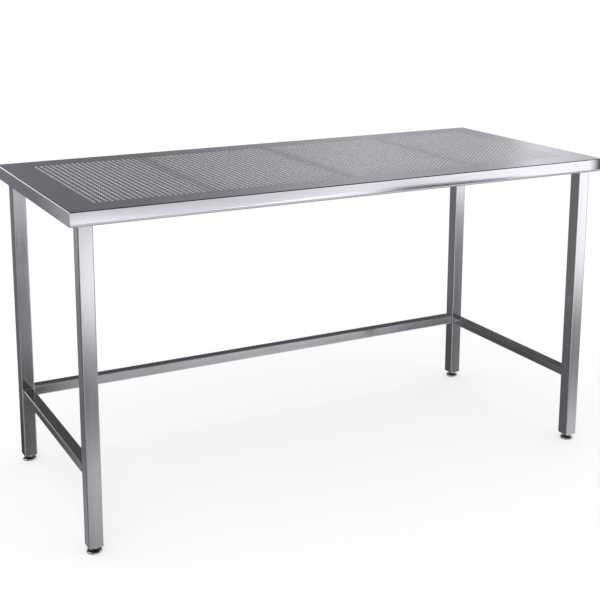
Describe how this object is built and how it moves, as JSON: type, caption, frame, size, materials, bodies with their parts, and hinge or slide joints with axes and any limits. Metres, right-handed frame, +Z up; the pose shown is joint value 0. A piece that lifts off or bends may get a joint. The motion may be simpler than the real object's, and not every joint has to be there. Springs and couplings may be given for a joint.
{
  "type": "cleanroom table",
  "caption": "Free-standing stainless work table with a perforated worktop, a folded rim, square tube legs, low stretchers at the sides and rear, and screw-in levelling feet.",
  "frame": {"origin": "on the floor, under the middle of the worktop", "axes": "+X to the right along the worktop, +Y to the rear where the long stretcher is, +Z up"},
  "size_m": [1.6, 0.7, 0.88],
  "materials": {
    "worktop_steel": "fine brushed stainless sheet with a satin sheen",
    "tube_steel": "electropolished stainless tube, satin",
    "stiffener_steel": "folded stainless sheet, mill finish",
    "fastener_steel": "stainless fasteners",
    "foot_steel": "turned and polished stainless",
    "plug_plastic": "black moulded plastic",
    "nut_steel": "darkened steel"
  },
  "bodies": {
    "frame": {"worktop": "worktop_steel", "worktop_studs": "fastener_steel", "worktop_nuts": "fastener_steel", "front_rail": "tube_steel", "rear_rail": "tube_steel", "left_rail": "tube_steel", "right_rail": "tube_steel", "rear_stretcher": "tube_steel", "left_stretcher": "tube_steel", "right_stretcher": "tube_steel", "left_stiffener": "stiffener_steel", "middle_stiffener": "stiffener_steel", "right_stiffener": "stiffener_steel", "front_left_leg": "tube_steel", "front_left_plug": "plug_plastic", "front_left_bush": "fastener_steel", "front_left_lock_nut": "nut_steel", "front_right_leg": "tube_steel", "front_right_plug": "plug_plastic", "front_right_bush": "fastener_steel", "front_right_lock_nut": "nut_steel", "rear_left_leg": "tube_steel", "rear_left_plug": "plug_plastic", "rear_left_bush": "fastener_steel", "rear_left_lock_nut": "nut_steel", "rear_right_leg": "tube_steel", "rear_right_plug": "plug_plastic", "rear_right_bush": "fastener_steel", "rear_right_lock_nut": "nut_steel"},
    "front_left_foot": {"front_left_disc": "foot_steel"},
    "front_left_screw": {"front_left_spindle": "foot_steel"},
    "front_right_foot": {"front_right_disc": "foot_steel"},
    "front_right_screw": {"front_right_spindle": "foot_steel"},
    "rear_left_foot": {"rear_left_disc": "foot_steel"},
    "rear_left_screw": {"rear_left_spindle": "foot_steel"},
    "rear_right_foot": {"rear_right_disc": "foot_steel"},
    "rear_right_screw": {"rear_right_spindle": "foot_steel"}
  },
  "joints": [
    {"name": "front_left_height", "type": "slide", "parent": "frame", "child": "front_left_foot", "axis": [0, 0, -1], "range_m": [0, 0.025]},
    {"name": "front_left_turn", "type": "hinge", "parent": "front_left_foot", "child": "front_left_screw", "pos_m": [-0.756, -0.306, 0], "axis": [0, 0, -1], "range_deg": [0, 6000]},
    {"name": "front_right_height", "type": "slide", "parent": "frame", "child": "front_right_foot", "axis": [0, 0, -1], "range_m": [0, 0.025]},
    {"name": "front_right_turn", "type": "hinge", "parent": "front_right_foot", "child": "front_right_screw", "pos_m": [0.756, -0.306, 0], "axis": [0, 0, -1], "range_deg": [0, 6000]},
    {"name": "rear_left_height", "type": "slide", "parent": "frame", "child": "rear_left_foot", "axis": [0, 0, -1], "range_m": [0, 0.025]},
    {"name": "rear_left_turn", "type": "hinge", "parent": "rear_left_foot", "child": "rear_left_screw", "pos_m": [-0.756, 0.306, 0], "axis": [0, 0, -1], "range_deg": [0, 6000]},
    {"name": "rear_right_height", "type": "slide", "parent": "frame", "child": "rear_right_foot", "axis": [0, 0, -1], "range_m": [0, 0.025]},
    {"name": "rear_right_turn", "type": "hinge", "parent": "rear_right_foot", "child": "rear_right_screw", "pos_m": [0.756, 0.306, 0], "axis": [0, 0, -1], "range_deg": [0, 6000]}
  ],
  "couplings": [
    {"joint": "front_left_turn", "follows": "front_left_height", "rad_per_m": 4188.8},
    {"joint": "front_right_turn", "follows": "front_right_height", "rad_per_m": 4188.8},
    {"joint": "rear_left_turn", "follows": "rear_left_height", "rad_per_m": 4188.8},
    {"joint": "rear_right_turn", "follows": "rear_right_height", "rad_per_m": 4188.8}
  ]
}
